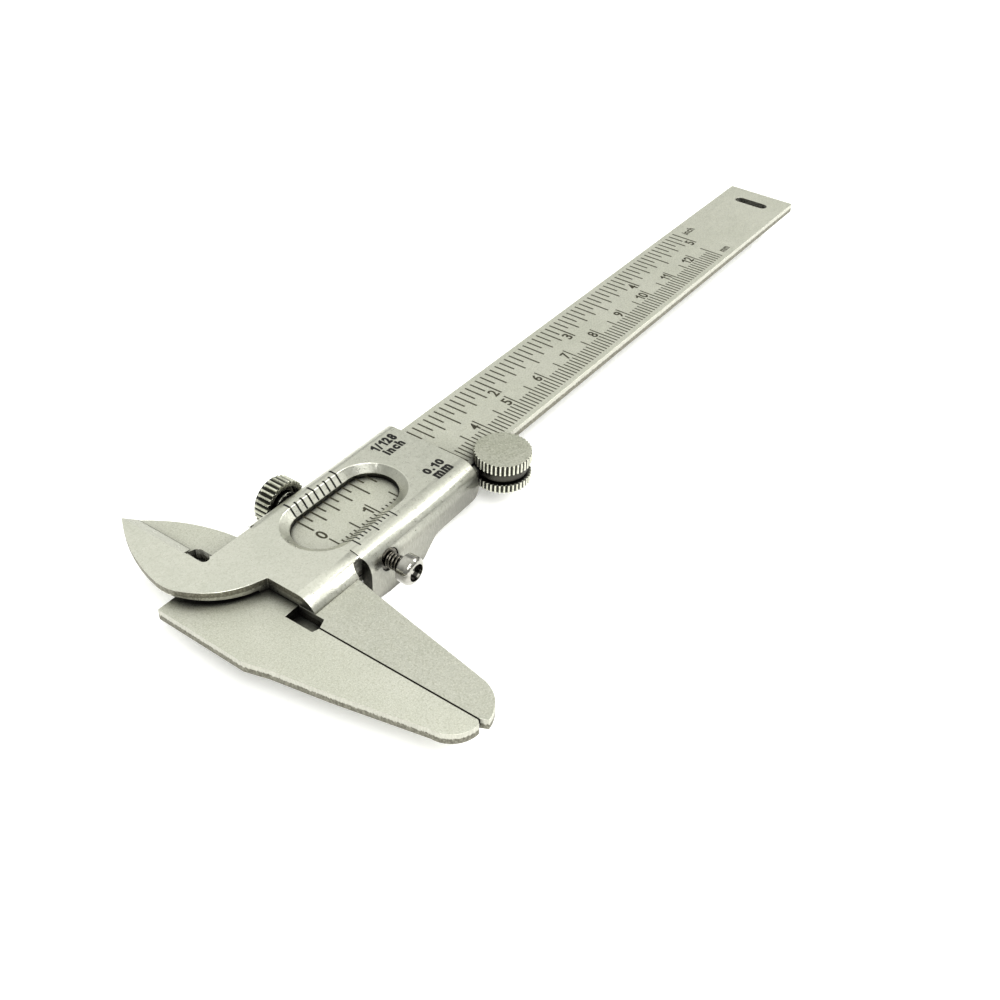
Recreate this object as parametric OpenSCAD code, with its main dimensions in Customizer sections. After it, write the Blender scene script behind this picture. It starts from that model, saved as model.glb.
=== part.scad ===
// Vernier caliper in pressed steel: a graduated beam with the fixed jaws, and a folded slider that
// carries the moving jaws, a lock screw, a thumb roller and a spring push button.
// Millimetres. X runs along the beam away from the jaws, Y across it towards the inside jaws, Z out
// of the graduated face. X = 0 is the measuring line, Y = 0 the beam's middle, Z = 0 the beam's back.

/* [Beam] */
// Width of the beam across its two scales
beam_w = 16; // [15.5:0.5:16.5]
// Thickness of the beam and of the fixed jaws
beam_t = 2; // [1.8:0.1:2.2]
// Distance from the measuring line to the far end of the beam
beam_end = 175; // [172:1:190]
// Length of the hang slot across the beam
hang_slot_l = 8; // [6:0.5:9]
// Width of the hang slot along the beam
hang_slot_w = 2.4; // [2:0.1:3]

/* [Jaws] */
// Reach of the outside jaws below the beam's middle
jaw_reach = 43.6; // [42:0.2:46]
// Reach of the inside jaws above the beam's middle
beak_reach = 26.4; // [25.4:0.2:28]
// Gap between the two measuring faces when the jaws are shut
jaw_gap = 0.04; // [0.02:0.01:0.1]

/* [Slider] */
// Thickness of the pressed cover over the beam
cover_t = 2.2; // [2:0.1:2.4]
// Thickness of the plate behind the beam
back_t = 1.2; // [1:0.1:1.4]
// Running clearance between the slider and the beam
run_gap = 0.1; // [0.08:0.01:0.12]
// Distance from the measuring line to the slider's far end
slider_end = 43.6; // [43.2:0.1:44]
// Length of the window at its lower rim
window_l = 22; // [21.2:0.2:22.4]
// Width of the window at its lower rim
window_w = 9.9; // [9.5:0.1:10.2]
// Height of the window's rim over the cover's underside
window_rim = 0.7; // [0.4:0.1:1]

/* [Lock screw] */
// Distance from the measuring line to the screw's axis
lock_x = 18.9; // [18.5:0.1:19.3]
// Radius of the screw's knurled head
lock_head_r = 4.5; // [4.4:0.1:5]
// Length of the screw's knurled head
lock_head_l = 3.2; // [2.8:0.1:3.6]
// Number of ridges round the head
lock_ridges = 28; // [24:1:32]

/* [Thumb roller] */
// Distance from the measuring line to the roller's axis
roller_x = 50.2; // [50:0.1:50.6]
// Radius of the two knurled discs
disc_r = 5.15; // [5:0.05:5.3]
// Radius of the neck that rolls on the beam's edge
neck_r = 3.2; // [3.1:0.02:3.24]
// Number of ridges round each disc
disc_ridges = 40; // [36:1:44]

/* [Push button] */
// Distance from the measuring line to the button's axis
button_x = 19.1; // [18.8:0.1:19.4]
// Radius of the button's head
button_r = 2.45; // [2.2:0.05:2.6]
// Turns of the return spring
spring_turns = 5.5; // [4:0.5:6]

/* [Hidden] */

// Edges of the beam and levels of the slider's sheets.
edge_y = beam_w / 2;
jaw_z0 = run_gap;
jaw_z1 = beam_t + run_gap;
cover_z1 = jaw_z1 + cover_t;
back_z0 = -run_gap - back_t;
axis_z = 0.8;

// Lower side of the cover: a round fold, a relief notch, and beyond it a skirt that is deepest round
// the push button and drawn in slightly towards the far end.
fold_y = -edge_y + 0.2;
rail_y = -edge_y - 0.06;
fold_r = 4.1;
fold_x1 = 14;
wall_in_y = fold_y - 1.9;
skirt_x0 = 13.6;
skirt_y = fold_y + 0.1;
skirt_r = 4;
skirt_turn = 1.2;
skirt_z0 = -5.85;
skirt_low = -2.3;
notch_x = 13.1;
notch_r = 1.3;
notch_z = cover_z1 - 1.6;

// Upper side of the cover.
flange_y0 = edge_y + 0.53;
flange_y1 = edge_y + 1.93;
flange_r = 2.4;
flange_x0 = 9.6;
ledge_y = 8.35;
cover_x0 = 1.7;
leaf_z0 = cover_z1 - 1.1;

// Window in the cover: middle, length and width at the rim and 0.3 over the cover's face.
rim_z = jaw_z1 + window_rim;
rim_at = [22.4, 0.52];
mouth_z = cover_z1 + 0.3;
mouth_at = [21.8, 0.02];
mouth_l = window_l + 3.6;
mouth_w = window_w + 3.95;

// Pivots and the travelling pieces.
roller_y = -edge_y - neck_r - 0.08;
disc_top = cover_z1 - 0.3;
disc_gap = 0.1;
pin_r = 1.1;
shank_r = 1.5;
fit = 0.05;
stem_r = 0.8;
seat_y = -11;
ring_seat_y = -10.4;
head_y1 = -16.8;
head_y0 = -14.2;
pad_y0 = -edge_y - 1.5;
pad_y1 = -edge_y - 0.6;
wire_r = 0.2;
recess_y = head_y0 - 0.9;
coil_r = 1.2;

STEEL = [0.80, 0.80, 0.77];
BLAST = [0.70, 0.70, 0.66];
BRIGHT = [0.90, 0.90, 0.89];
SPRING = [0.45, 0.45, 0.44];
BRASS = [0.76, 0.64, 0.36];

// Points of an arc with centre (cx, cy), radius r, from angle a0 to a1 in n steps.
function arc(cx, cy, r, a0, a1, n) =
    [for (i = [0 : n]) [cx + r * cos(a0 + (a1 - a0) * i / n), cy + r * sin(a0 + (a1 - a0) * i / n)]];

// Outline of a straight knurl: ridges of height h round a circle of radius r.
function knurl(r, h, count) = [for (i = [0 : 4 * count - 1])
    let (q = i % 4, rr = (q == 1 || q == 2) ? r : r - h, a = 360 * i / (4 * count))
    [rr * cos(a), rr * sin(a)]];

// Points of a bow of radius r from p to q in n steps. It bulges to the right of the way from p to q.
function bow(p, q, r, n) =
    let (d = q - p, h = norm(d) / 2, k = sqrt(r * r - h * h) / (2 * h),
        c = [(p[0] + q[0]) / 2 - k * d[1], (p[1] + q[1]) / 2 + k * d[0]],
        a0 = atan2(p[1] - c[1], p[0] - c[0]), turn = 2 * asin(h / r))
    arc(c[0], c[1], r, a0, a0 + turn, n);

module plate(z0, z1)
{
    translate([0, 0, z0]) linear_extrude(height = z1 - z0) children();
}

module slot(l, w)
{
    union()
    {
        square([w, l - w], center = true);
        for (s = [-1, 1])
        {
            translate([0, s * (l - w) / 2]) circle(d = w, $fn = 48);
        }
    }
}

module axis_y(x, y0, y1, r)
{
    translate([x, y0, axis_z]) rotate([-90, 0, 0]) cylinder(h = y1 - y0, r = r, $fn = 64);
}

// Beam, fixed outside jaw and fixed inside jaw: one stamped plate.
module fixed_outline()
{
    face = -jaw_gap / 2;
    tip = -jaw_reach;
    polygon(concat(
        [[face, -13.75], [-1.2, -13.4], [-1.2, -edge_y], [beam_end, -edge_y], [beam_end, edge_y]],
        bow([7.6, edge_y], [0.32, beak_reach], 28.7, 16),
        [[-face, beak_reach], [-face, 13.9], [1.4, 13.5], [1.9, 12.7], [1.9, edge_y + 1.8],
         [1.4, edge_y + 1], [0.3, edge_y + 0.6], [0.3, edge_y], [-11.5, edge_y],
         [-11.7, -9.5], [-10.5, -13.7], [-8.7, -23.5]],
        bow([-5.4, tip + 5.1], [-0.7, tip + 0.2], 4.9, 10),
        [[face, tip + 0.9]]));
}

module beam()
{
    color(BLAST) difference()
    {
        plate(0, beam_t) fixed_outline();
        translate([beam_end - 5.8, 0, -1]) linear_extrude(height = beam_t + 2)
            slot(hang_slot_l, hang_slot_w);
        // Knife edge of the inside jaw: its face leans back behind the measuring line.
        translate([-jaw_gap, beak_reach + 2, 0]) rotate([90, 0, 0])
            linear_extrude(height = beak_reach - 8.9)
            polygon([[-1, -1], [1.9, -1], [0.06, beam_t - 0.15], [-1, beam_t - 0.15]]);
    }
}

// Moving outside jaw: a plate under the cover, with a rail along the beam's lower edge.
module moving_outline()
{
    face = jaw_gap / 2;
    tip = -jaw_reach;
    polygon(concat(
        [[face, tip + 0.9], [face, -13.75], [1.7, -13.1], [1.7, rail_y], [button_x - 2.3, rail_y],
         [button_x - 2.3, wall_in_y + 0.05], [13, wall_in_y + 0.05], [11.6, -11.4],
         [11.1, -13.7], [10.45, -16.8], [6.6, tip + 5.9]],
        [for (i = [0 : 14]) bow([0.7, tip - 0.5], [6.45, tip + 5.3], 6.4, 14)[14 - i]]));
}

module moving_jaw()
{
    color(BLAST) plate(jaw_z0, jaw_z1) moving_outline();
}

// Strip that carries on the jaw's rail beyond the push button, up to the roller's bracket.
module lower_rail()
{
    color(STEEL) plate(jaw_z0, jaw_z1) translate([button_x + 2.3, wall_in_y + 0.05])
        square([slider_end - 1.6 - button_x - 2.3, rail_y - wall_in_y - 0.05]);
}

// Outline of the cover's flat, with the moving inside jaw to the left of the measuring line.
module cover_outline()
{
    polygon(concat(
        [[cover_x0, fold_y], [fold_x1, fold_y], [fold_x1, fold_y + 1.6],
         [slider_end + 1, fold_y + 1.6], [slider_end + 1, flange_y1],
         [flange_x0, flange_y1], [flange_x0, ledge_y], [0.1, ledge_y]],
        arc(-0.95, 8.75, 0.8, -20, -180, 8),
        [[-1.78, 12.3], [-jaw_gap / 2, 12.9], [-jaw_gap / 2, beak_reach - 1.7],
         [-1.9, beak_reach - 0.35]],
        bow([-2.1, beak_reach - 0.4], [-8.7, 12.5], 35.3, 12),
        bow([-8.95, 11.2], [-8.75, 7.2], 8.2, 6),
        bow([-8.3, 6.2], [-1.1, -0.95], 13.6, 10),
        [[cover_x0, -1.95]]));
}

// Space inside the cover that holds the beam, the rail and the plate behind.
module cover_bore()
{
    translate([-30, wall_in_y, skirt_z0 - 2])
        cube([beam_end, flange_y0 - wall_in_y, jaw_z1 - skirt_z0 + 2]);
}

// Round fold beside the jaw. It rests on the jaw's plate.
module jaw_fold()
{
    intersection()
    {
        translate([cover_x0, fold_y, cover_z1 - fold_r]) rotate([0, 90, 0])
            cylinder(h = fold_x1 - cover_x0, r = fold_r, $fn = 128);
        translate([cover_x0, fold_y - fold_r - 1, jaw_z1])
            cube([fold_x1 - cover_x0, fold_r + 1, cover_t]);
    }
}

// Side view of the skirt: square beside the notch, deepest round the push button.
module skirt_outline()
{
    drop = skirt_low - skirt_z0;
    polygon(concat(
        [[skirt_x0, cover_z1 + 1], [skirt_x0, -4]],
        arc(notch_x + notch_r + 1.2, -4, 1.2, 180, 270, 6),
        [[18.8, skirt_z0], [26.4, skirt_z0]],
        [for (i = [1 : 12]) [26.4 + 5.8 * i / 12, skirt_z0 + drop * (1 - cos(15 * i)) / 2]],
        arc(slider_end - 2, skirt_low + 2, 2, 270, 360, 8),
        [[slider_end + 1, skirt_low + 2], [slider_end + 1, cover_z1 + 1]]));
}

// Fold and skirt beyond the notch.
module skirt()
{
    reach = slider_end - skirt_x0 + 4;
    intersection()
    {
        translate([skirt_x0, skirt_y]) rotate([0, 0, skirt_turn]) translate([-1, 0]) union()
        {
            translate([0, 0, jaw_z1]) cube([reach, 3, cover_t]);
            intersection()
            {
                union()
                {
                    translate([0, 0, cover_z1 - skirt_r]) rotate([0, 90, 0])
                        cylinder(h = reach, r = skirt_r, $fn = 128);
                    translate([0, -skirt_r, skirt_z0 - 1])
                        cube([reach, skirt_r, cover_z1 - skirt_r - skirt_z0 + 1]);
                }
                translate([0, -skirt_r - 1, skirt_z0 - 1])
                    cube([reach, skirt_r + 1, cover_z1 - skirt_z0 + 1]);
            }
        }
        translate([0, fold_y + 6]) rotate([90, 0, 0]) linear_extrude(height = 20) skirt_outline();
    }
}

// Everything outside the rounded upper fold.
module upper_round()
{
    difference()
    {
        translate([flange_x0 - 1, flange_y1 - flange_r, cover_z1 - flange_r])
            cube([slider_end, flange_r + 1, flange_r + 1]);
        translate([flange_x0 - 2, flange_y1 - flange_r, cover_z1 - flange_r]) rotate([0, 90, 0])
            cylinder(h = slider_end + 4, r = flange_r, $fn = 96);
    }
}

// Straight sides with round ends, l long and w wide, round the point at.
module stadium(at, l, w)
{
    r = w / 2;
    translate(at) polygon(concat(
        arc(r - l / 2, 0, r, 90, 270, 40), arc(l / 2 - r, 0, r, 270, 450, 40)));
}

// Bevel from the window's rim out to the cover's face.
module window_bevel()
{
    hull()
    {
        plate(rim_z - 0.01, rim_z) stadium(rim_at, window_l, window_w);
        plate(mouth_z, mouth_z + 0.01) stadium(mouth_at, mouth_l, mouth_w);
    }
}

// Space under the moving inside jaw, whose sheet thins towards its outer end.
module leaf_relief()
{
    translate([-12, 0, 0]) rotate([90, 0, 90]) linear_extrude(height = 12.3)
        polygon([[-3, jaw_z1 - 0.5], [beak_reach + 2, jaw_z1 - 0.5], [beak_reach + 2, leaf_z0],
            [11.7, leaf_z0], [-3, leaf_z0 - 0.88]]);
}

module slider_cover()
{
    color(STEEL) difference()
    {
        union()
        {
            plate(jaw_z1, cover_z1) cover_outline();
            jaw_fold();
            skirt();
            // Flange on the upper side.
            translate([flange_x0, flange_y0, back_z0])
                cube([slider_end + 1 - flange_x0, flange_y1 - flange_y0, cover_z1 - back_z0]);
        }
        // Straight cut of the far end.
        translate([slider_end, -40, -20]) cube([20, 80, 40]);
        cover_bore();
        upper_round();
        plate(jaw_z1 - 1, rim_z) stadium(rim_at, window_l, window_w);
        window_bevel();
        leaf_relief();
        // Relief notch, open downwards.
        translate([notch_x, wall_in_y, notch_z]) rotate([90, 0, 0])
            cylinder(h = 12, r = notch_r, $fn = 64);
        translate([notch_x - notch_r, -30, skirt_z0 - 2])
            cube([2 * notch_r, 30 + wall_in_y, notch_z - skirt_z0 + 2]);
        // Seats of the push button's washer, stem and retaining ring.
        axis_y(button_x, -20, seat_y, 2);
        axis_y(button_x, -20, -8, stem_r + fit);
        axis_y(button_x, ring_seat_y, -8, 1.3);
        // Seat of the lock screw's bush.
        axis_y(lock_x, edge_y, 20, 1.9);
        // Knife edge of the inside jaw: its face leans back from the measuring line.
        translate([0, beak_reach + 2, 0]) rotate([90, 0, 0])
            linear_extrude(height = beak_reach + 2 - 12)
            polygon([[1, leaf_z0 + 0.08], [-0.04, leaf_z0 + 0.08], [-2.4, cover_z1 + 0.2],
                [1, cover_z1 + 0.2]]);
    }
}

// Plate that closes the slider behind the beam. It reaches under the root of both pairs of jaws.
module back_plate()
{
    color(STEEL) plate(back_z0, back_z0 + back_t) difference()
    {
        polygon([[flange_x0 + 0.2, flange_y0], [7.4, flange_y0 + 0.4], [6.2, 14.6], [5.2, 15.4],
            [1.8, 15.4], [0.9, 14.4], [0.9, 7.4], [2.4, 5.8], [2.4, -6], [-1.6, -7.6],
            [-1.6, -13.4], [-0.7, -14.3], [8.8, -14.3], [9.6, -13.4], [9.8, wall_in_y],
            [button_x - 1.8, wall_in_y], [button_x - 1.8, -9.3],
            [button_x + 1.8, -9.3], [button_x + 1.8, wall_in_y],
            [slider_end - 1.7, wall_in_y], [slider_end - 0.4, wall_in_y + 1.3],
            [slider_end - 0.4, flange_y0]]);
        for (p = rivet_places())
        {
            translate([p[0], p[1]]) circle(r = p[2], $fn = 48);
        }
    }
}

function rivet_places() = [[4.6, -10.2, 0.9], [8.4, -10.2, 0.9], [35, -8.85, 0.45],
    [40.6, -8.85, 0.45]];

module back_rivets()
{
    color(BRIGHT) union()
    {
        for (p = rivet_places())
        {
            translate([p[0], p[1], back_z0 - 0.25]) cylinder(h = 0.25, r = p[2] + 0.35, $fn = 48);
            translate([p[0], p[1], back_z0]) cylinder(h = back_t + run_gap, r = p[2], $fn = 48);
        }
    }
}

// Thin strip that fills the running gap on the upper edge, open where the screw's pad passes.
module gib_strip()
{
    color(BRASS) difference()
    {
        translate([flange_x0 + 1, edge_y + 0.06, 0.05])
            cube([slider_end - flange_x0 - 2, flange_y0 - edge_y - 0.06, beam_t - 0.1]);
        translate([lock_x - 1.75, edge_y - 1, axis_z - 0.62]) cube([3.5, 3, 1.24]);
    }
}

// Threaded bush of the lock screw, pressed into the flange.
module lock_bush()
{
    color(BRIGHT) difference()
    {
        axis_y(lock_x, flange_y0, flange_y1 + 0.25, 1.9);
        axis_y(lock_x, flange_y0 - 1, flange_y1 + 1, shank_r + fit);
    }
}

// Pad between the screw's tip and the beam's edge.
module clamp_shoe()
{
    color(BRASS) translate([lock_x - 1.3, edge_y + 0.3, axis_z - 0.5]) cube([2.6, 0.62, 1]);
}

module lock_shank()
{
    tip = edge_y + 0.94;
    color(BRIGHT) union()
    {
        axis_y(lock_x, tip, flange_y1 + 2.9, shank_r);
    }
}

module lock_knob()
{
    y0 = flange_y1 + 0.5;
    y1 = y0 + 0.3 + lock_head_l;
    rim = 0.4;
    color(STEEL) difference()
    {
        union()
        {
            axis_y(lock_x, y0, y0 + 0.4, 2.6);
            translate([lock_x, y0 + 0.3, axis_z]) rotate([-90, 0, 0])
                linear_extrude(height = lock_head_l - rim)
                    polygon(knurl(lock_head_r, 0.35, lock_ridges));
            // Plain rim round the outer end.
            axis_y(lock_x, y1 - rim - 0.2, y1, lock_head_r - 0.45);
        }
        axis_y(lock_x, y0 - 1, flange_y1 + 2.9, shank_r);
        // Hollow of the inner face, round the hub.
        difference()
        {
            axis_y(lock_x, y0 - 1, y0 + 1.1, lock_head_r - 1);
            axis_y(lock_x, y0 - 2, y0 + 2, 2.6);
        }
    }
}

// Open hook that carries the roller's neck, on an arm from the slider.
module roller_bracket()
{
    outer = neck_r + 1.3;
    inner = neck_r + 0.09;
    color(STEEL) plate(0.3, beam_t - 0.3) difference()
    {
        union()
        {
            translate([slider_end - 1.55, wall_in_y + 0.05])
                square([roller_x - slider_end - 2, 1.5]);
            translate([roller_x, roller_y]) circle(r = outer, $fn = 96);
        }
        translate([roller_x, roller_y]) circle(r = inner, $fn = 96);
        translate([slider_end, -edge_y - 0.1]) square([20, 20]);
        translate([roller_x, roller_y + 1.6]) square([20, 20]);
    }
}

module knurled_disc(z0, z1)
{
    translate([roller_x, roller_y, z0]) linear_extrude(height = z1 - z0)
        polygon(knurl(disc_r, 0.25, disc_ridges));
}

module roller_top_disc()
{
    color(STEEL) difference()
    {
        knurled_disc(beam_t + disc_gap, disc_top);
        translate([roller_x, roller_y, 0]) cylinder(h = disc_top - 0.6, r = pin_r, $fn = 64);
    }
}

module roller_neck()
{
    color(BRIGHT) difference()
    {
        translate([roller_x, roller_y, -disc_gap])
            cylinder(h = beam_t + 2 * disc_gap, r = neck_r, $fn = 96);
        translate([roller_x, roller_y, -1]) cylinder(h = beam_t + 2, r = pin_r, $fn = 64);
    }
}

module roller_bottom_disc()
{
    color(STEEL) difference()
    {
        knurled_disc(-disc_gap - 1.6, -disc_gap);
        translate([roller_x, roller_y, -3]) cylinder(h = 4, r = pin_r, $fn = 64);
    }
}

// Pin through the neck and both discs, with a low head under the lower disc.
module roller_pin()
{
    under = -disc_gap - 1.6;
    color(BRIGHT) union()
    {
        translate([roller_x, roller_y, under])
            cylinder(h = disc_top - 0.6 - under, r = pin_r, $fn = 64);
        translate([roller_x, roller_y, under - 0.3]) cylinder(h = 0.3, r = 1.7, $fn = 64);
    }
}

module button_washer()
{
    color(BRIGHT) difference()
    {
        axis_y(button_x, seat_y - 0.3, seat_y, 1.85);
        axis_y(button_x, seat_y - 1, seat_y + 1, stem_r + fit);
    }
}

// Centre of the spring's wire at turn fraction t from 0 to 1.
spring_y0 = seat_y - 0.32 - wire_r;
spring_y1 = recess_y + wire_r + 0.02;
spring_steps = 20;
function wire(i, n) = let (t = i / n, a = 360 * spring_turns * t)
    [coil_r * cos(a), coil_r * sin(a), spring_y0 + (spring_y1 - spring_y0) * t];
function ring(i, n) = let (c = wire(i, n), a = 360 * spring_turns * i / n)
    [for (k = [0 : 7]) let (b = 45 * k, rr = wire_r * cos(b), h = wire_r * sin(b))
        [c[0] + rr * cos(a), c[1] + rr * sin(a), c[2] + h]];

module button_spring()
{
    n = spring_steps * spring_turns;
    rings = [for (i = [0 : n]) each ring(i, n)];
    sides = [for (i = [0 : n - 1], k = [0 : 7])
        [8 * i + k, 8 * i + (k + 1) % 8, 8 * (i + 1) + (k + 1) % 8, 8 * (i + 1) + k]];
    first = [for (k = [0 : 7]) 7 - k];
    last = [for (k = [0 : 7]) 8 * n + k];
    color(SPRING) translate([button_x, 0, axis_z]) rotate([-90, 0, 0])
        polyhedron(points = rings, faces = concat(sides, [first], [last]));
}

module button_head()
{
    color(BRIGHT) difference()
    {
        translate([button_x, 0, axis_z]) rotate([90, 0, 0]) rotate_extrude($fn = 128)
            polygon(concat([[0, -head_y0], [button_r - 0.3, -head_y0], [button_r, -head_y0 + 0.3]],
                arc(button_r - 0.9, -head_y1 - 0.9, 0.9, 0, 90, 8),
                [[0, -head_y1]]));
        axis_y(button_x, head_y1 - 1, head_y1 + 0.9, 1.55);
        axis_y(button_x, recess_y, head_y0 + 1, 1.65);
        axis_y(button_x, recess_y - 1, head_y0 + 1, stem_r);
    }
}

module button_stem()
{
    color(BRIGHT) axis_y(button_x, head_y1 + 0.9, pad_y0, stem_r);
}

// Retaining ring on the stem, inside the wall.
module button_clip()
{
    color(SPRING) difference()
    {
        axis_y(button_x, ring_seat_y + 0.05, ring_seat_y + 0.4, 1.2);
        axis_y(button_x, ring_seat_y - 1, ring_seat_y + 1, stem_r);
    }
}

// Pad that grips the beam's lower edge while the button is pressed.
module brake_pad()
{
    color(BRASS) translate([button_x - 1.8, pad_y0, 0.1]) cube([3.6, pad_y1 - pad_y0, 1.8]);
}

beam();
slider_cover();
moving_jaw();
lower_rail();
back_plate();
back_rivets();
gib_strip();
lock_bush();
clamp_shoe();
lock_shank();
lock_knob();
roller_bracket();
roller_top_disc();
roller_neck();
roller_bottom_disc();
roller_pin();
button_washer();
button_spring();
button_head();
button_stem();
button_clip();
brake_pad();
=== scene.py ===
"""Looks of a pressed-steel vernier caliper: plated steel, etched scales, knurls and a coil spring."""
import math
import bpy
from mathutils import Euler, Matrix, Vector


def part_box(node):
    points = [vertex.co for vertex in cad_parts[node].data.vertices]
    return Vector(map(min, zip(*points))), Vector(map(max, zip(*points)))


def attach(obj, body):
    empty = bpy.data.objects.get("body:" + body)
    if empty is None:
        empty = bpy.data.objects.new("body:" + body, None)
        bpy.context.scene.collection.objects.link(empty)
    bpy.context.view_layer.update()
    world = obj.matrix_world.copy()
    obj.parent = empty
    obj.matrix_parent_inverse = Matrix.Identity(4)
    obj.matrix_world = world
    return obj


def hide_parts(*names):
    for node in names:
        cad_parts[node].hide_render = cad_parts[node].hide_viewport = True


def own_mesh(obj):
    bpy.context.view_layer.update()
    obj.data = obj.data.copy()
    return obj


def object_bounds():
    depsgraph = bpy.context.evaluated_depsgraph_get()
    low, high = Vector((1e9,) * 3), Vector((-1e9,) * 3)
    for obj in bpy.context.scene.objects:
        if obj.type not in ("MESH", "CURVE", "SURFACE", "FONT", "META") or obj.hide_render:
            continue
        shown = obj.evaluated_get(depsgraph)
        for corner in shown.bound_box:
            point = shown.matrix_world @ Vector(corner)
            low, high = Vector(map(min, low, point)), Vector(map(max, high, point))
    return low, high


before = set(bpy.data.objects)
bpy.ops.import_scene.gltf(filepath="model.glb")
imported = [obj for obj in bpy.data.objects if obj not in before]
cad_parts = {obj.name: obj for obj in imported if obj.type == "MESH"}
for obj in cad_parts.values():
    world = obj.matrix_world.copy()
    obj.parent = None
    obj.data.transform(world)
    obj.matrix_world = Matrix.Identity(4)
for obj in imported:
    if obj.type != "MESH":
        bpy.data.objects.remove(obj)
cad_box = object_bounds()
MM = 0.001

# Both scales: place of their zeros along the beam, in millimetres, and their ranges.
SCALE_ZERO = 16.0
INCH = 25.4
MM_RANGE = 125
INCH_SIXTEENTHS = 80

# Regions that get painted shade, in millimetres.
WINDOW_X = 27.0
WINDOW_HALF_LENGTH = 13.0
WINDOW_HALF_WIDTH = 5.6
NOTCH_X = 13.1
NOTCH_HALF_LENGTH = 1.7
FOLD_Y = -8.6
SEAM_Y = -13.4

# Height of the marks over the steel and their depth below it, in millimetres.
MARK_PROUD = 0.012
MARK_DEEP = 0.05


def node_box(name):
    """Lowest and highest corner of a CAD node, in millimetres."""
    low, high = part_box(name)
    return low / MM, high / MM


beam_low, beam_high = node_box("beam")
BEAM_TOP = beam_high.z
COVER_TOP = node_box("slider_cover")[1].z
COVER_SHEET = 2.2
JAW_LIFT = 0.1


# ---------------------------------------------------------------- materials

def new_material(name, metallic=1.0):
    """A node material and its shader."""
    material = bpy.data.materials.new(name)
    material.use_nodes = True
    shader = material.node_tree.nodes["Principled BSDF"]
    shader.inputs["Metallic"].default_value = metallic
    return material, shader


class Nodes:
    """Short calls for building one material's nodes."""

    def __init__(self, material):
        self.tree = material.node_tree

    def add(self, kind, **settings):
        made = self.tree.nodes.new(kind)
        for key, value in settings.items():
            setattr(made, key, value)
        return made

    def link(self, source, target):
        self.tree.links.new(source, target)

    def apart(self, vector):
        """X, Y and Z outputs of a vector."""
        node = self.add("ShaderNodeSeparateXYZ")
        self.link(vector, node.inputs["Vector"])
        return node.outputs

    def facing(self):
        """X, Y and Z outputs of the surface's normal."""
        return self.apart(self.add("ShaderNodeNewGeometry").outputs["Normal"])

    def scaled(self, colour, level):
        """A colour made lighter or darker."""
        node = self.add("ShaderNodeVectorMath", operation="SCALE")
        self.link(colour, node.inputs[0])
        self.link(level, node.inputs["Scale"])
        return node.outputs[0]

    def from_axis(self, name, axis):
        """Distance in millimetres from a CAD node's middle axis, which is 0, 1 or 2."""
        low, high = node_box(name)
        offset = self.add("ShaderNodeVectorMath", operation="SUBTRACT")
        self.link(self.position(), offset.inputs[0])
        offset.inputs[1].default_value = (low + high) / 2
        flat = self.add("ShaderNodeVectorMath", operation="MULTIPLY")
        self.link(offset.outputs[0], flat.inputs[0])
        flat.inputs[1].default_value = [0.0 if i == axis else 1.0 for i in range(3)]
        reach = self.add("ShaderNodeVectorMath", operation="LENGTH")
        self.link(flat.outputs[0], reach.inputs[0])
        return reach.outputs["Value"]

    def position(self, stretch=(1, 1, 1)):
        """Object position in millimetres, divided by stretch along each axis."""
        coordinates = self.add("ShaderNodeTexCoord")
        mapping = self.add("ShaderNodeMapping")
        mapping.inputs["Scale"].default_value = [1 / MM / s for s in stretch]
        self.link(coordinates.outputs["Object"], mapping.inputs["Vector"])
        return mapping.outputs["Vector"]

    def noise(self, where, size, detail=3.0, rough=0.55):
        texture = self.add("ShaderNodeTexNoise")
        texture.inputs["Scale"].default_value = 1 / size
        texture.inputs["Detail"].default_value = detail
        texture.inputs["Roughness"].default_value = rough
        self.link(where, texture.inputs["Vector"])
        return texture.outputs["Fac"]

    def math(self, operation, a, b=None):
        node = self.add("ShaderNodeMath", operation=operation)
        for slot, value in ((0, a), (1, b)):
            if value is None:
                continue
            if isinstance(value, (int, float)):
                node.inputs[slot].default_value = value
            else:
                self.link(value, node.inputs[slot])
        return node.outputs[0]

    def ramp(self, value, low, high, out_low=0.0, out_high=1.0):
        node = self.add("ShaderNodeMapRange", interpolation_type="SMOOTHSTEP")
        for key, number in (("From Min", low), ("From Max", high), ("To Min", out_low), ("To Max", out_high)):
            node.inputs[key].default_value = number
        self.link(value, node.inputs["Value"])
        return node.outputs["Result"]

    def mix(self, factor, a, b):
        node = self.add("ShaderNodeMix", data_type="RGBA")
        for slot, value in ((0, factor), (6, a), (7, b)):
            if isinstance(value, tuple):
                node.inputs[slot].default_value = (*value, 1)
            elif isinstance(value, (int, float)):
                node.inputs[slot].default_value = value
            else:
                self.link(value, node.inputs[slot])
        return node.outputs[2]

    def bump(self, height, depth, strength=1.0, below=None):
        node = self.add("ShaderNodeBump")
        node.inputs["Distance"].default_value = depth * MM
        node.inputs["Strength"].default_value = strength
        self.link(height, node.inputs["Height"])
        if below is not None:
            self.link(below, node.inputs["Normal"])
        return node.outputs["Normal"]

    def pits(self, where, spacing, radius, share):
        """1 in sparse round pits, 0 elsewhere."""
        cells = self.add("ShaderNodeTexVoronoi")
        cells.inputs["Scale"].default_value = 1 / spacing
        self.link(where, cells.inputs["Vector"])
        parts = self.add("ShaderNodeSeparateColor")
        self.link(cells.outputs["Color"], parts.inputs["Color"])
        chosen = self.math("LESS_THAN", parts.outputs["Red"], share)
        spread = self.math("MULTIPLY", parts.outputs["Green"], radius / spacing)
        inside = self.math("LESS_THAN", cells.outputs["Distance"], spread)
        return self.math("MULTIPLY", chosen, inside)


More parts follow.
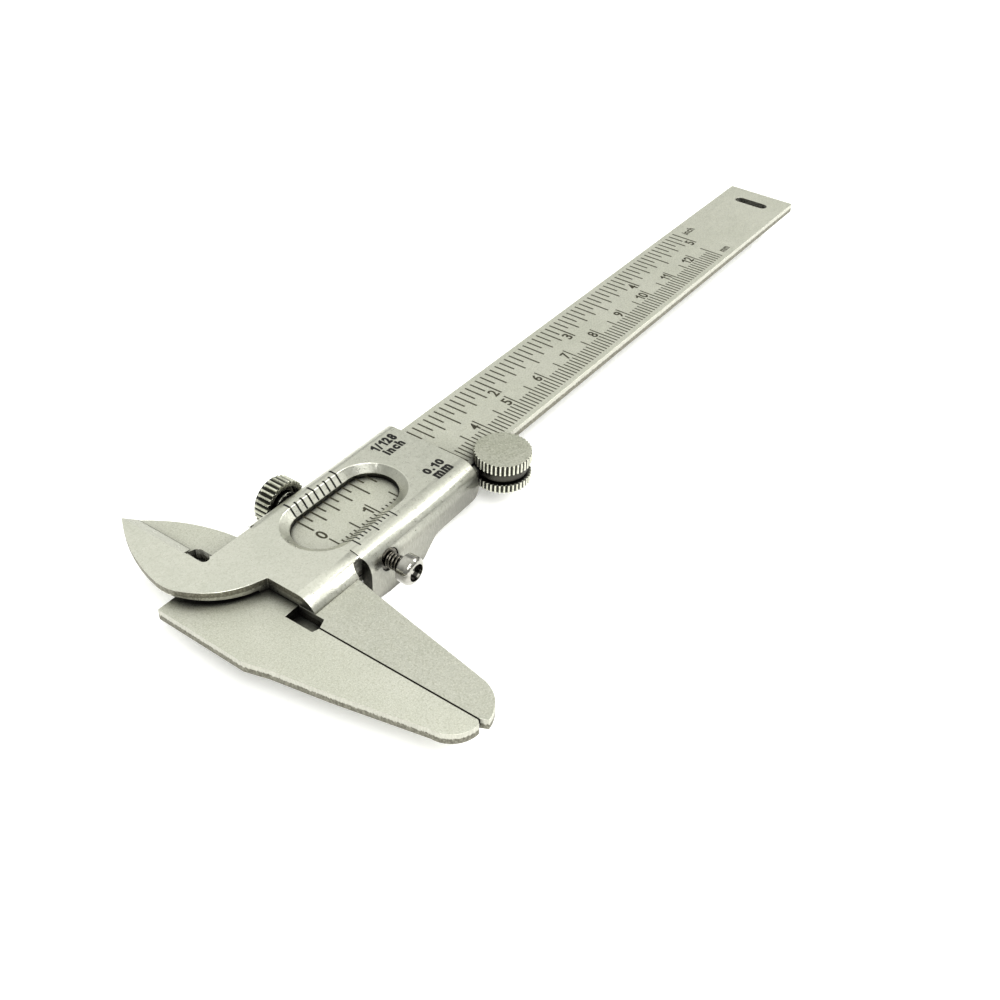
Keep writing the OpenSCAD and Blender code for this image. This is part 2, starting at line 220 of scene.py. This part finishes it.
def soiled(n, colour, reach, low, high, floor_level):
    """Darkens a colour where other surfaces stand close by: painted shade in corners, gaps and recesses."""
    near = n.add("ShaderNodeAmbientOcclusion", samples=8)
    near.inputs["Distance"].default_value = reach * MM
    level = n.ramp(near.outputs["AO"], low, high, floor_level, 1.0)
    return n.scaled(colour, level)


def sheet_steel(name, tints, roughness, grain, grain_depth, pit_share, edge_levels=None, upper_rough=False,
                extra=None, crevice=(3.5, 0.22, 0.88, 0.07)):
    """Plated steel sheet: grain and pits on its faces, and the bands of a blanked cut on its edges."""
    material, shader = new_material(name)
    n = Nodes(material)
    place = n.position()
    clouds = n.noise(place, 9.0, 2.0)
    mottle = n.noise(place, 0.9, 3.0)
    fine = n.noise(place, grain, 4.0, 0.65)
    colour = n.mix(n.ramp(clouds, 0.35, 0.65), tints[0], tints[1])
    colour = n.mix(n.ramp(mottle, 0.42, 0.75, 0.0, 0.35), colour, tints[2])
    colour = n.mix(n.ramp(fine, 0.48, 0.62, 0.0, 0.80), colour, tints[3])
    specks = n.noise(place, 0.34, 2.0, 0.6)
    colour = n.mix(n.ramp(specks, 0.32, 0.52, 0.75, 0.0), colour, tints[2])
    pits = n.pits(place, 2.6, 0.16, pit_share)
    colour = n.mix(pits, colour, (0.10, 0.10, 0.085))
    rough = n.math("ADD", n.ramp(mottle, 0.3, 0.75, roughness - 0.04, roughness + 0.07),
                   n.ramp(fine, 0.4, 0.7, -0.03, 0.05))
    height = n.math("SUBTRACT", fine, n.math("MULTIPLY", pits, 3.0))
    normal = n.bump(height, grain_depth)
    if edge_levels:
        low, high = edge_levels
        upright = n.math("ABSOLUTE", n.facing()["Z"])
        is_edge = n.ramp(upright, 0.08, 0.26, 1.0, 0.0)
        streaks = n.noise(n.position((1, 1, 6)), 0.22, 3.0, 0.7)
        torn = n.noise(n.position((1, 1, 1.5)), 0.35, 4.0, 0.7)
        split = n.math("ADD", n.apart(place)["Z"], n.ramp(torn, 0.2, 0.8, -0.22, 0.22))
        middle = low + (high - low) * 0.52
        band = n.ramp(split, middle - 0.08, middle + 0.08)
        if not upper_rough:
            band = n.math("SUBTRACT", 1.0, band)
        rough_zone = n.math("MULTIPLY", is_edge, band)
        dark = n.mix(n.ramp(torn, 0.35, 0.7), (0.15, 0.145, 0.115), (0.30, 0.29, 0.24))
        cut = n.mix(n.ramp(streaks, 0.35, 0.7), (0.46, 0.455, 0.40), (0.56, 0.555, 0.49))
        colour = n.mix(is_edge, colour, cut)
        colour = n.mix(rough_zone, colour, dark)
        rough = n.math("ADD", rough, n.math("MULTIPLY", rough_zone, 0.18))
        edge_height = n.math("MULTIPLY", n.math("ADD", n.math("MULTIPLY", torn, rough_zone),
                                                n.math("MULTIPLY", streaks, 0.4)), is_edge)
        normal = n.bump(edge_height, 0.02, 1.0, normal)
    if extra:
        colour = extra(n, colour)
    # Painted shade in corners and gaps darkens the base colour.
    n.link(soiled(n, colour, *crevice), shader.inputs["Base Color"])
    n.link(rough, shader.inputs["Roughness"])
    n.link(normal, shader.inputs["Normal"])
    return material


def drawn_skirt(n, colour):
    """Painted shade on the cover's lower side wall, darker towards its far end, with scuffs in it, and
    painted black shadow on the walls of its window and notch.
    """
    facing = n.facing()
    place = n.apart(n.position())
    # Painted shade: faces turned towards -Y get darker, more so towards the far end; the scuffs are wear.
    side = n.ramp(facing["Y"], -0.97, -0.62, 1.0, 0.0)
    along = n.ramp(place["X"], 20.0, 42.0, 0.66, 0.38)
    scuffs = n.ramp(n.noise(n.position((0.25, 1, 2.5)), 0.5, 3.0, 0.7), 0.3, 0.7, 0.86, 1.08)
    colour = n.mix(side, colour, n.scaled(colour, n.math("MULTIPLY", along, scuffs)))
    along_window = n.math("ABSOLUTE", n.math("SUBTRACT", place["X"], WINDOW_X))
    across_window = n.math("ABSOLUTE", place["Y"])
    window = n.math("MULTIPLY", n.math("LESS_THAN", across_window, WINDOW_HALF_WIDTH),
                    n.math("LESS_THAN", along_window, WINDOW_HALF_LENGTH))
    upright = n.ramp(n.math("ABSOLUTE", facing["Z"]), 0.15, 0.35, 1.0, 0.0)
    along_notch = n.math("ABSOLUTE", n.math("SUBTRACT", place["X"], NOTCH_X))
    notch = n.math("MULTIPLY", n.math("LESS_THAN", along_notch, NOTCH_HALF_LENGTH),
                   n.math("LESS_THAN", place["Y"], FOLD_Y))
    turned = n.ramp(facing["X"], -0.7, -0.35, 1.0, 0.0)
    # Painted black shadow on the upright walls of the window and of the notch.
    painted_wall_shadow = n.math("ADD", n.math("MULTIPLY", window, upright), n.math("MULTIPLY", notch, turned))
    return n.mix(n.math("MINIMUM", painted_wall_shadow, 0.92), colour, (0.020, 0.019, 0.015))


def shut_seam(n, colour):
    """A dark line of painted shade where the two outside measuring faces meet."""
    place = n.apart(n.position())
    close = n.ramp(n.math("ABSOLUTE", place["X"]), 0.09, 0.15, 1.0, 0.0)
    below = n.ramp(place["Y"], SEAM_Y - 0.2, SEAM_Y + 0.2, 1.0, 0.0)
    return n.mix(n.math("MULTIPLY", close, below), colour, (0.035, 0.033, 0.026))


def knurl_dirt(name, axis, depth):
    """Painted shade in the grooves and painted highlight on the crests round a knurled node whose axis is 0,
    1 or 2.
    """
    low, high = node_box(name)
    radius = max(high[i] - low[i] for i in range(3) if i != axis) / 2

    def shade(n, colour):
        """Painted shade and highlight: darkens the flank by its depth below the crests and brightens the
        crests.
        """
        flank = n.ramp(n.math("ABSOLUTE", n.facing()[axis]), 0.3, 0.7, 1.0, 0.0)
        level = n.ramp(n.from_axis(name, axis), radius - depth, radius - 0.2 * depth, 0.06, 1.25)
        return n.mix(flank, colour, n.scaled(colour, level))

    return shade


def old_oil(name, axis, radius, fade):
    """Painted black shade up to a radius round a node's middle axis, which is 0, 1 or 2."""

    def shade(n, colour):
        """Blackens the surface inside the radius as painted shade."""
        near = n.ramp(n.from_axis(name, axis), radius, radius + fade, 0.93, 0.0)
        return n.mix(near, colour, (0.02, 0.018, 0.014))

    return shade


def turned_steel(name, tints, roughness, axis, grain=0.18, depth=0.006, extra=None):
    """Turned bar: fine rings round the axis 0, 1 or 2, and a cloudy tint."""
    material, shader = new_material(name)
    n = Nodes(material)
    stretch = [14.0, 14.0, 14.0]
    stretch[axis] = 1.0
    rings = n.noise(n.position(stretch), grain, 3.0, 0.6)
    clouds = n.noise(n.position(), 0.7, 3.0)
    colour = n.mix(n.ramp(clouds, 0.35, 0.7), tints[0], tints[1])
    if extra:
        colour = extra(n, colour)
    # Painted shade in corners and gaps darkens the base colour.
    n.link(soiled(n, colour, 2.6, 0.15, 0.90, 0.04), shader.inputs["Base Color"])
    rough = n.math("ADD", n.ramp(clouds, 0.3, 0.7, roughness - 0.03, roughness + 0.06),
                   n.ramp(rings, 0.35, 0.7, -0.02, 0.04))
    n.link(rough, shader.inputs["Roughness"])
    n.link(n.bump(rings, depth), shader.inputs["Normal"])
    return material


def mark_paint(name, dark, light):
    """Black filling of the etched marks, worn a little thin."""
    material, shader = new_material(name, metallic=0.0)
    n = Nodes(material)
    worn = n.noise(n.position(), 0.35, 4.0, 0.7)
    n.link(n.mix(n.ramp(worn, 0.45, 0.8), dark, light), shader.inputs["Base Color"])
    n.link(n.ramp(worn, 0.3, 0.7, 0.45, 0.62), shader.inputs["Roughness"])
    n.link(n.bump(worn, 0.02), shader.inputs["Normal"])
    shader.inputs["Specular IOR Level"].default_value = 0.15
    return material


BLAST_TINTS = ((0.625, 0.630, 0.545), (0.670, 0.670, 0.590), (0.530, 0.530, 0.440), (0.800, 0.795, 0.710))
SATIN_TINTS = ((0.640, 0.645, 0.565), (0.685, 0.683, 0.605), (0.575, 0.577, 0.500), (0.725, 0.723, 0.655))
WORN_TINTS = ((0.500, 0.510, 0.415), (0.610, 0.610, 0.530), (0.370, 0.370, 0.295), (0.680, 0.675, 0.590))
JAW_TINTS = tuple(tuple(0.86 * c for c in tint) for tint in BLAST_TINTS)
# Reach in millimetres, lower and upper end of the ramp, and darkest level of the painted shade in corners.
KNURL_CREVICE = (1.8, 0.45, 0.98, 0.03)
GAP_CREVICE = (5.0, 0.40, 0.95, 0.03)
JAW_CREVICE = (7.0, 0.45, 1.0, 0.05)
KNOB_CREVICE = (1.2, 0.30, 0.95, 0.22)
beam_steel = sheet_steel("beam_blasted_steel", BLAST_TINTS, 0.40, 0.20, 0.045, 0.04, (beam_low.z, BEAM_TOP),
                         extra=shut_seam, crevice=JAW_CREVICE)
jaw_steel = sheet_steel("jaw_blasted_steel", JAW_TINTS, 0.40, 0.20, 0.045, 0.04,
                        (JAW_LIFT, BEAM_TOP + JAW_LIFT), extra=shut_seam)
cover_steel = sheet_steel("cover_satin_steel", SATIN_TINTS, 0.33, 0.22, 0.014, 0.22,
                          (COVER_TOP - COVER_SHEET, COVER_TOP), upper_rough=True, extra=drawn_skirt)
hidden_steel = sheet_steel("plate_satin_steel", SATIN_TINTS, 0.38, 0.22, 0.02, 0.1)
disc_steel = sheet_steel("roller_plated_steel", WORN_TINTS, 0.34, 0.30, 0.05, 0.5,
                         extra=knurl_dirt("roller_top_disc", 2, 0.25), crevice=KNURL_CREVICE)
# Painted shadow under the roller's top disc.
bracket_steel = sheet_steel("bracket_satin_steel", SATIN_TINTS, 0.38, 0.22, 0.02, 0.1,
                            extra=old_oil("roller_top_disc", 2, 4.8, 0.6))
low_disc_steel = sheet_steel("lower_roller_plated_steel", WORN_TINTS, 0.34, 0.30, 0.05, 0.5,
                             extra=knurl_dirt("roller_bottom_disc", 2, 0.25), crevice=GAP_CREVICE)
knob_steel = sheet_steel("knob_plated_steel", WORN_TINTS, 0.26, 0.30, 0.02, 0.1,
                         extra=knurl_dirt("lock_knob", 1, 0.35), crevice=KNOB_CREVICE)
bright = turned_steel("bright_turned_steel", ((0.70, 0.70, 0.67), (0.60, 0.60, 0.57)), 0.17, 2)
bright_y = turned_steel("bright_turned_steel_across", ((0.72, 0.72, 0.69), (0.62, 0.62, 0.59)), 0.15, 1)
# Painted shade in the hole of the button's head.
chrome = turned_steel("chrome_plate", ((0.44, 0.43, 0.40), (0.34, 0.33, 0.30)), 0.09, 1, 0.3, 0.002,
                      extra=old_oil("button_head", 1, 1.5, 0.08))
# Dark wire, darkened further as painted shade of the recess round the button; the washer wears it too.
shaded_spring_steel = turned_steel("spring_wire", ((0.10, 0.092, 0.075), (0.17, 0.158, 0.135)), 0.26, 1)
# Near-black tint of the roller's neck is painted shade in the gap between the discs.
shaded_neck_steel = turned_steel("neck_shaded_steel", ((0.12, 0.11, 0.09), (0.20, 0.185, 0.155)), 0.30, 2)
bronze = turned_steel("bronze_strip", ((0.56, 0.43, 0.22), (0.45, 0.33, 0.17)), 0.33, 0)
beam_ink = mark_paint("beam_mark_filling", (0.030, 0.028, 0.018), (0.085, 0.080, 0.052))
cover_ink = mark_paint("cover_mark_filling", (0.008, 0.008, 0.007), (0.020, 0.020, 0.017))


# ---------------------------------------------------------------- carried-over CAD nodes

def finish_node(name, material, edge=0.0):
    """Gives a CAD node its material and a small round on its sharp edges."""
    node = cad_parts[name]
    node.data.materials.clear()
    node.data.materials.append(material)
    node.data.polygons.foreach_set("material_index", [0] * len(node.data.polygons))
    if edge > 0:
        weld = node.modifiers.new("weld", "WELD")
        weld.merge_threshold = 0.0005 * MM
        flat = node.modifiers.new("flatten", "DECIMATE")
        flat.decimate_type = "DISSOLVE"
        flat.angle_limit = math.radians(0.3)
        bevel = node.modifiers.new("round", "BEVEL")
        bevel.width = edge * MM
        bevel.segments = 2
        bevel.limit_method = "ANGLE"
        bevel.angle_limit = math.radians(30)
        bevel.use_clamp_overlap = False
        bevel.harden_normals = True
    return node


finish_node("beam", beam_steel, 0.05)
finish_node("moving_jaw", jaw_steel, 0.09)
finish_node("slider_cover", cover_steel, 0.10)
finish_node("lower_rail", hidden_steel, 0.06)
finish_node("back_plate", hidden_steel, 0.08)
finish_node("back_rivets", bright)
finish_node("gib_strip", bronze)
finish_node("lock_bush", bright_y, 0.06)
finish_node("clamp_shoe", bronze)
finish_node("lock_shank", bright_y)
finish_node("lock_knob", knob_steel, 0.05)
finish_node("roller_bracket", bracket_steel, 0.06)
finish_node("roller_top_disc", disc_steel, 0.05)
finish_node("roller_neck", shaded_neck_steel)
finish_node("roller_bottom_disc", low_disc_steel, 0.05)
finish_node("roller_pin", bright, 0.06)
finish_node("button_washer", shaded_spring_steel)
finish_node("button_head", chrome)
finish_node("button_stem", bright_y)
finish_node("button_clip", shaded_spring_steel)
finish_node("brake_pad", bronze)


# ---------------------------------------------------------------- mesh helpers

def mesh_piece(name, verts, faces, material, body):
    """A piece from points in millimetres."""
    mesh = bpy.data.meshes.new(name)
    mesh.from_pydata([tuple(c * MM for c in v) for v in verts], [], faces)
    mesh.validate()
    mesh.update()
    piece = bpy.data.objects.new(name, mesh)
    bpy.context.scene.collection.objects.link(piece)
    piece.data.materials.append(material)
    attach(piece, body)
    return piece


def bar_mark(verts, faces, x0, x1, y0, y1, top):
    """Adds a flat straight mark to a mesh in the making."""
    start = len(verts)
    for z in (top - MARK_DEEP, top + MARK_PROUD):
        verts += [(x0, y0, z), (x1, y0, z), (x1, y1, z), (x0, y1, z)]
    quads = [(3, 2, 1, 0), (4, 5, 6, 7), (0, 1, 5, 4), (1, 2, 6, 5), (2, 3, 7, 6), (3, 0, 4, 7)]
    faces += [tuple(start + i for i in quad) for quad in quads]


def letter_mesh(letter, weight):
    """Points and faces of one built-in letter, flat at z 0 and 1, baseline at y 0."""
    curve = bpy.data.curves.new("letter", "FONT")
    curve.body = letter
    curve.size = 1.0
    curve.offset = weight
    curve.extrude = 0.5
    curve.resolution_u = 6
    holder = bpy.data.objects.new("letter", curve)
    bpy.context.scene.collection.objects.link(holder)
    bpy.context.view_layer.update()
    seen = holder.evaluated_get(bpy.context.evaluated_depsgraph_get())
    mesh = bpy.data.meshes.new_from_object(seen)
    points = [(v.co.x, v.co.y, v.co.z + 0.5) for v in mesh.vertices]
    faces = [tuple(f.vertices) for f in mesh.polygons]
    bpy.data.objects.remove(holder)
    bpy.data.curves.remove(curve)
    bpy.data.meshes.remove(mesh)
    return points, faces


def figure_one(weight):
    """The figure 1 as an upright with a flag, drawn to match the built-in figures."""
    stroke = 0.085 + 2 * weight
    top = 0.70 + weight
    flag = 0.21
    outline = [(flag, -weight), (flag + stroke, -weight), (flag + stroke, top), (flag + 0.25 * stroke, top),
               (0.10, top - 0.14), (0.0, top - 0.15), (0.0, top - 0.15 - stroke), (flag, top - 0.13 - stroke)]
    count = len(outline)
    points = [(x, y, 0.0) for x, y in outline] + [(x, y, 1.0) for x, y in outline]
    faces = [tuple(range(count - 1, -1, -1)), tuple(range(count, 2 * count))]
    faces += [(i, (i + 1) % count, count + (i + 1) % count, count + i) for i in range(count)]
    return points, faces


def word_mark(verts, faces, text, centre, height, top, weight, width):
    """Adds flat lettering of a given height and width, centred on a point."""
    gap = 0.085
    pen = 0.0
    points, sides = [], []
    for letter in text:
        shape, shape_faces = figure_one(weight) if letter == "1" else letter_mesh(letter, weight)
        left = min(p[0] for p in shape)
        start = len(points)
        points += [(p[0] - left + pen, p[1], p[2]) for p in shape]
        sides += [tuple(start + i for i in f) for f in shape_faces]
        pen = max(p[0] for p in points) + gap
    low = [min(p[i] for p in points) for i in range(2)]
    high = [max(p[i] for p in points) for i in range(2)]
    scale_y = height / (high[1] - low[1])
    scale_x = width / (high[0] - low[0])
    start = len(verts)
    for p in points:
        x = centre[0] + (p[0] - (low[0] + high[0]) / 2) * scale_x
        y = centre[1] + (p[1] - (low[1] + high[1]) / 2) * scale_y
        verts.append((x, y, top - MARK_DEEP + p[2] * (MARK_DEEP + MARK_PROUD)))
    faces += [tuple(start + i for i in f) for f in sides]


# ---------------------------------------------------------------- scales on the beam

def beam_scales():
    """Millimetre lines below and 1/16 inch lines above, along the whole beam."""
    verts, faces = [], []
    fine = 0.30
    bold = 0.36
    for n in range(MM_RANGE + 1):
        x = SCALE_ZERO + n
        inner = -0.39 if n % 10 == 0 else -1.38 if n % 5 == 0 else -3.23
        if n == 0:
            inner = -1.5
        bar_mark(verts, faces, x - fine / 2, x + fine / 2, -6.89, inner, BEAM_TOP)
    for n in range(INCH_SIXTEENTHS + 1):
        x = SCALE_ZERO + INCH * n / 16
        inner = 0.70 if n % 8 == 0 else 1.79 if n % 2 == 0 else 3.39
        if n == 0:
            inner = 1.75
        bar_mark(verts, faces, x - bold / 2, x + bold / 2, inner, 6.86, BEAM_TOP)
    mesh_piece("beam_scale_lines", verts, faces, beam_ink, "beam")


def beam_figures():
    """Figures of both scales and the names of their units."""
    verts, faces = [], []
    height = 2.3
    weight = 0.024
    for n in range(MM_RANGE // 10 + 1):
        wide = (1.35, 0.95)[n == 1] if n < 10 else 2.0 if n == 11 else 2.6
        x = SCALE_ZERO + 10 * n - 0.5 - wide / 2 if n else SCALE_ZERO - 0.05
        y = -1.85 if n else 0.05
        word_mark(verts, faces, str(n), (x, y), height, BEAM_TOP, weight, wide)
    for n in range(1, 6):
        wide = (1.35, 0.95)[n == 1]
        place = (SCALE_ZERO + INCH * n - 0.5 - wide / 2, 1.75)
        word_mark(verts, faces, str(n), place, height, BEAM_TOP, weight, wide)
    word_mark(verts, faces, "inch", (146.7, 4.85), 1.7, BEAM_TOP, weight, 3.6)
    word_mark(verts, faces, "mm", (144.2, -5.9), 1.2, BEAM_TOP, weight, 2.8)
    mesh_piece("beam_scale_figures", verts, faces, beam_ink, "beam")


# ---------------------------------------------------------------- marks on the slider

def surface_height(x, y):
    """Height of the cover's upper surface over (x, y), or None where the window is open."""
    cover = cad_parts["slider_cover"]
    hit, place, normal, _ = cover.ray_cast(Vector((x, y, COVER_TOP + 5)) * MM, Vector((0, 0, -1)))
    if not hit or place.z / MM < BEAM_TOP + 0.4 or normal.z < 0.2:
        return None
    return place.z / MM


def bent_mark(verts, faces, x, outer, inward, line):
    """A line from y = outer towards the window, laid over its bevelled rim."""
    step = 0.1
    rows = []
    y = outer
    while True:
        z = surface_height(x, y)
        if z is None:
            break
        rows.append((y, z))
        y += step * inward
    start = len(verts)
    for y, z in rows:
        for side in (-line / 2, line / 2):
            verts.append((x + side, y, z + MARK_PROUD))
            verts.append((x + side, y, z - MARK_DEEP))
    for i in range(len(rows) - 1):
        a = start + 4 * i
        b = a + 4
        faces += [(a, b, b + 2, a + 2), (a + 1, a + 3, b + 3, b + 1)]
        faces += [(a, a + 1, b + 1, b), (a + 2, b + 2, b + 3, a + 3)]
    end = start + 4 * (len(rows) - 1)
    faces.append((start, start + 2, start + 3, start + 1))
    faces.append((end, end + 1, end + 3, end + 2))


def vernier_scales():
    """Ten-part vernier below the window and eight-part vernier above it."""
    verts, faces = [], []
    for k in range(11):
        outer = -8.23 if k % 5 == 0 else -7.28
        bent_mark(verts, faces, SCALE_ZERO + 0.9 * k, outer, 1, 0.28)
    for k in range(9):
        outer = 8.2 if k % 4 == 0 else 7.2
        bent_mark(verts, faces, SCALE_ZERO + INCH * 7 / 128 * k, outer, -1, 0.38)
    mesh_piece("vernier_lines", verts, faces, cover_ink, "slider")


def cover_labels():
    """Readings of the two verniers and their units."""
    verts, faces = [], []
    labels = (("1/128", (38.8, 6.0), 5.6, 2.1), ("inch", (38.85, 3.78), 4.5, 1.95),
              ("0.10", (38.72, -4.92), 4.65, 1.75), ("mm", (38.75, -6.95), 4.1, 1.6))
    for text, centre, width, height in labels:
        word_mark(verts, faces, text, centre, height, COVER_TOP, 0.062, width)
    mesh_piece("cover_labels", verts, faces, cover_ink, "slider")


beam_scales()
beam_figures()
vernier_scales()
cover_labels()


# ---------------------------------------------------------------- push button's spring

def button_spring():
    """A smooth coil that stands in for the faceted one, with closed end turns."""
    low, high = node_box("button_spring")
    wire = 0.2
    coil = (high.x - low.x) / 2 - wire
    centre = (low + high) / 2
    turns = 6.5
    ring_count = 260
    sides = 12
    y0 = high.y - wire
    y1 = low.y + wire
    verts, faces = [], []
    for i in range(ring_count + 1):
        t = i / ring_count
        angle = 2 * math.pi * turns * t
        rise = min(max((t - 0.1) / 0.8, 0.0), 1.0)
        y = y0 + (y1 - y0) * rise
        for k in range(sides):
            b = 2 * math.pi * k / sides
            r = coil + wire * math.cos(b)
            x = centre.x + r * math.cos(angle)
            verts.append((x, y + wire * math.sin(b), centre.z + r * math.sin(angle)))
    for i in range(ring_count):
        for k in range(sides):
            a = i * sides + k
            b = i * sides + (k + 1) % sides
            faces.append((a, b, b + sides, a + sides))
    faces.append(tuple(range(sides - 1, -1, -1)))
    faces.append(tuple(range(ring_count * sides, (ring_count + 1) * sides)))
    piece = mesh_piece("button_coil", verts, faces, shaded_spring_steel, "button")
    piece.data.shade_smooth()
    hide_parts("button_spring")
    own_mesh(piece)


button_spring()


# ---------------------------------------------------------------- floor, light and camera

def floor():
    """Plain pale floor at the tool's lowest point."""
    size = 2.0
    bpy.ops.mesh.primitive_plane_add(size=size, location=(0.08, 0, cad_box[0][2]))
    plane = bpy.context.object
    plane.name = "floor"
    material, shader = new_material("pale_floor", metallic=0.0)
    n = Nodes(material)
    tone = n.noise(n.position(), 40.0, 2.0)
    n.link(n.mix(tone, (0.90, 0.90, 0.89), (0.93, 0.93, 0.92)), shader.inputs["Base Color"])
    shader.inputs["Roughness"].default_value = 0.9
    shader.inputs["Specular IOR Level"].default_value = 0.1
    shader.inputs["Emission Color"].default_value = (1.0, 1.0, 0.99, 1.0)
    shader.inputs["Emission Strength"].default_value = 0.25
    plane.data.materials.append(material)


def area_light(name, place, target, size, power, tint=(1, 1, 1)):
    """A rectangular softbox aimed at a target, in metres and watts."""
    data = bpy.data.lights.new(name, "AREA")
    data.shape = "RECTANGLE"
    data.size = size[0]
    data.size_y = size[1]
    data.energy = power
    data.color = tint
    light = bpy.data.objects.new(name, data)
    bpy.context.scene.collection.objects.link(light)
    light.location = place
    light.rotation_euler = (Vector(target) - Vector(place)).to_track_quat("-Z", "Y").to_euler()


def sky():
    """A soft studio dome: dim low down, bright behind the tool and overhead, dimmer on the viewer's side."""
    world = bpy.data.worlds.new("studio")
    bpy.context.scene.world = world
    world.use_nodes = True
    background = world.node_tree.nodes["Background"]
    n = Nodes(world)
    where = n.add("ShaderNodeTexCoord").outputs["Generated"]
    parts = n.add("ShaderNodeSeparateXYZ")
    n.link(where, parts.inputs["Vector"])
    rise = n.add("ShaderNodeValToRGB")
    stops = ((0.0, 0.42), (0.38, 0.66), (0.60, 1.05), (0.76, 1.22), (1.0, 1.12))
    while len(rise.color_ramp.elements) < len(stops):
        rise.color_ramp.elements.new(0.5)
    for element, (at, level) in zip(rise.color_ramp.elements, stops):
        element.position = at
        element.color = (level, level * 1.015, level * 0.96, 1)
    n.link(parts.outputs["Z"], rise.inputs["Fac"])
    # The viewer's side of the dome is dimmer than the far side.
    back = n.add("ShaderNodeVectorMath", operation="DOT_PRODUCT")
    back.inputs[1].default_value = (0.83, 0.56, 0.0)
    n.link(where, back.inputs[0])
    side = n.ramp(back.outputs["Value"], -0.7, 0.4, 0.62, 1.0)
    # A dim patch in the direction that the flat upper faces mirror towards the camera.
    panel = n.add("ShaderNodeVectorMath", operation="DOT_PRODUCT")
    panel.inputs[1].default_value = (0.687, 0.446, 0.574)
    n.link(where, panel.inputs[0])
    dim = n.ramp(panel.outputs["Value"], 0.968, 0.998, 1.0, 0.5)
    tinted = n.mix(n.math("MULTIPLY", side, dim), (0.0, 0.0, 0.0), rise.outputs["Color"])
    n.link(tinted, background.inputs["Color"])
    background.inputs["Strength"].default_value = 1.0


def studio():
    """Sky and two softboxes."""
    sky()
    area_light("fold_softbox", (0.56, -0.30, 0.52), (0.03, 0, 0), (0.34, 0.30), 3.2, (1.0, 1.0, 0.97))
    area_light("floor_fill", (-0.35, -0.55, 0.85), (0.05, 0, 0), (0.6, 0.6), 9.0)


def camera():
    """Camera at the viewing angle of the photograph."""
    data = bpy.data.cameras.new("camera")
    data.lens = 44.8
    data.sensor_width = 36.0
    data.clip_start = 0.005
    data.clip_end = 10.0
    view = bpy.data.objects.new("camera", data)
    bpy.context.scene.collection.objects.link(view)
    view.location = (-0.09307, -0.10757, 0.13308)
    view.rotation_euler = Euler((0.88768, -0.03029, -0.95337), "XYZ")
    bpy.context.scene.camera = view


floor()
studio()
camera()
bpy.context.scene.view_settings.view_transform = "Standard"
